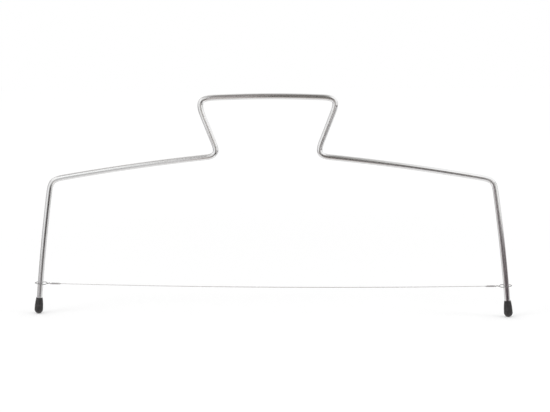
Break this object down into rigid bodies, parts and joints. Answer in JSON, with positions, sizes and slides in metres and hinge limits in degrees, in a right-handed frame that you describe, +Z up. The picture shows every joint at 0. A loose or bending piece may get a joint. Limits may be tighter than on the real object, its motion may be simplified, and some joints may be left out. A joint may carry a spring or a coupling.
{
  "type": "cake leveler",
  "caption": "Bent round-rod frame with a flared handle and slip-on foot caps, holding a thin cutting wire that slides up and down the legs to level a cake.",
  "frame": {"origin": "on the table midway between the feet, in the plane of the bent rod", "axes": "+X along the tool to the right as seen from the front, +Y to the back across the flat frame, +Z up from the feet to the handle"},
  "size_m": [0.3334, 0.006, 0.1538],
  "materials": {
    "rod": "bright plated steel rod",
    "cap": "matte black soft plastic",
    "wire": "bright drawn stainless wire"
  },
  "bodies": {
    "frame_body": {"frame": "rod", "left_foot_cap": "cap", "right_foot_cap": "cap"},
    "wire_body": {"cutting_wire": "wire", "left_wire_loop": "wire", "right_wire_loop": "wire"}
  },
  "joints": [
    {"name": "wire_height", "type": "slide", "parent": "frame_body", "child": "wire_body", "axis": [0, 0, 1], "range_m": [-0.0089, 0.024]}
  ]
}
